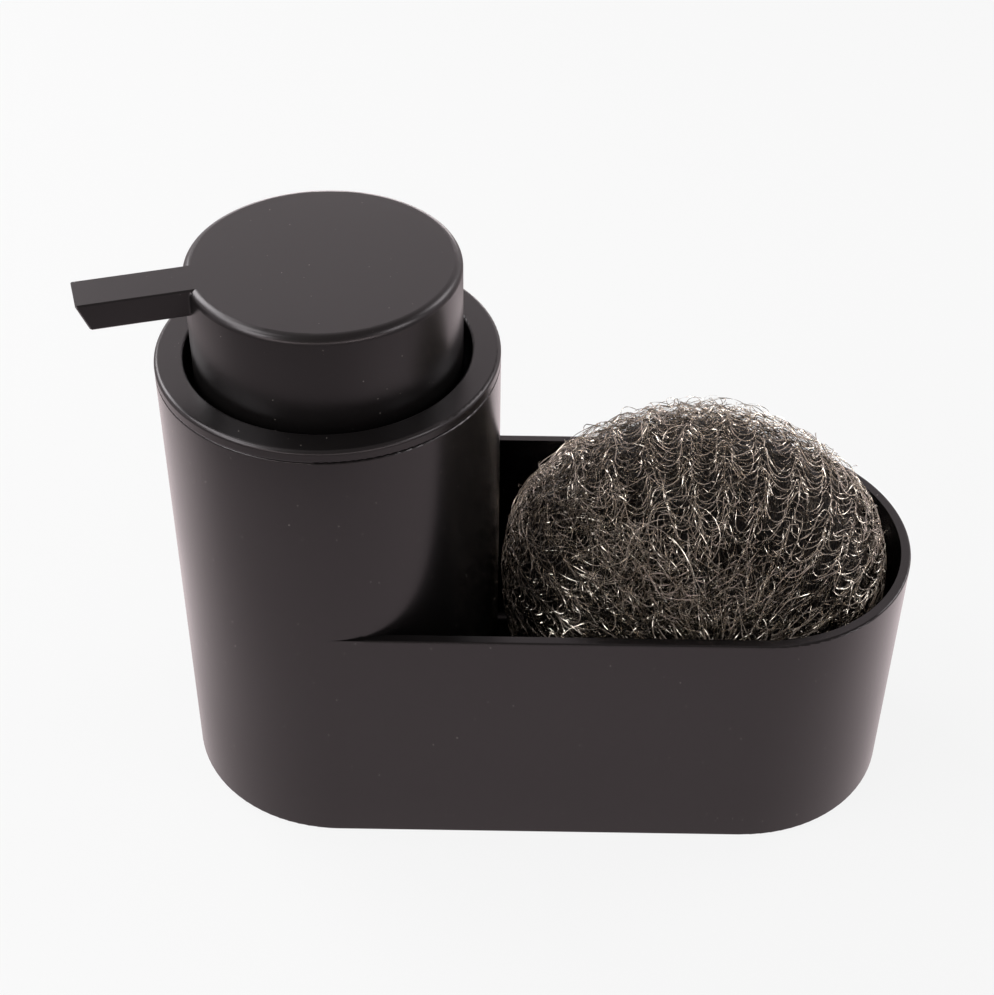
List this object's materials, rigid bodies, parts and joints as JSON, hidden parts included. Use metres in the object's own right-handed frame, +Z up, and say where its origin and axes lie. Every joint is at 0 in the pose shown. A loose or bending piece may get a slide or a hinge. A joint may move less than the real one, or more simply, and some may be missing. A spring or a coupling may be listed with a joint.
{
  "type": "soap pump caddy",
  "caption": "Black moulded soap dispenser with a round press head and flat turning spout, in one piece with a low open tray that holds a knitted steel wire scourer.",
  "frame": {"origin": "on the pump's axis, on the surface that the caddy stands on", "axes": "+X along the tray, away from the pump; +Y to the rear; +Z up along the pump's axis"},
  "size_m": [0.197, 0.08, 0.1466],
  "materials": {
    "satin_black_plastic": "satin",
    "black_pump_plastic": "matte",
    "pad_rubber": "matte",
    "seal_rubber": "matte",
    "natural_plastic": "satin",
    "ball_steel": "polished",
    "spring_steel": "satin",
    "scourer_wire": "satin"
  },
  "bodies": {
    "caddy": {"caddy_body": "satin_black_plastic", "base_pad": "pad_rubber"},
    "pump_unit": {"cap_ring": "satin_black_plastic", "cap_seal": "seal_rubber", "neck_gasket": "seal_rubber", "pump_housing": "natural_plastic", "inlet_cage": "natural_plastic", "dip_tube": "natural_plastic", "stem_guide": "natural_plastic", "closure_nut": "black_pump_plastic", "return_spring": "spring_steel"},
    "plunger": {"pump_stem": "natural_plastic", "piston": "natural_plastic", "outlet_cage": "natural_plastic"},
    "head": {"pump_head": "satin_black_plastic", "actuator_core": "black_pump_plastic", "spout_cover": "black_pump_plastic", "spout_tube": "natural_plastic"},
    "lower_ball": {"inlet_ball": "ball_steel"},
    "upper_ball": {"outlet_ball": "ball_steel"},
    "scourer_pad": {"scourer": "scourer_wire"}
  },
  "joints": [
    {"name": "pump_lift", "type": "slide", "parent": "caddy", "child": "pump_unit", "axis": [0, 0, 1], "range_m": [0, 0.13]},
    {"name": "head_press", "type": "slide", "parent": "pump_unit", "child": "plunger", "axis": [0, 0, -1], "range_m": [0, 0.014], "stiffness_N_per_m": 350, "springref_m": -0.01, "deforming": ["return_spring"]},
    {"name": "head_swivel", "type": "hinge", "parent": "plunger", "child": "head", "pos_m": [0, 0, 0.13935], "axis": [0, 0, 1], "continuous": true},
    {"name": "inlet_ball_lift", "type": "slide", "parent": "pump_unit", "child": "lower_ball", "axis": [0, 0, 1], "range_m": [0, 0.0015]},
    {"name": "outlet_ball_lift", "type": "slide", "parent": "plunger", "child": "upper_ball", "axis": [0, 0, 1], "range_m": [0, 0.0012]},
    {"name": "scourer_lift", "type": "slide", "parent": "caddy", "child": "scourer_pad", "axis": [0, 0, 1], "range_m": [0, 0.15]}
  ]
}
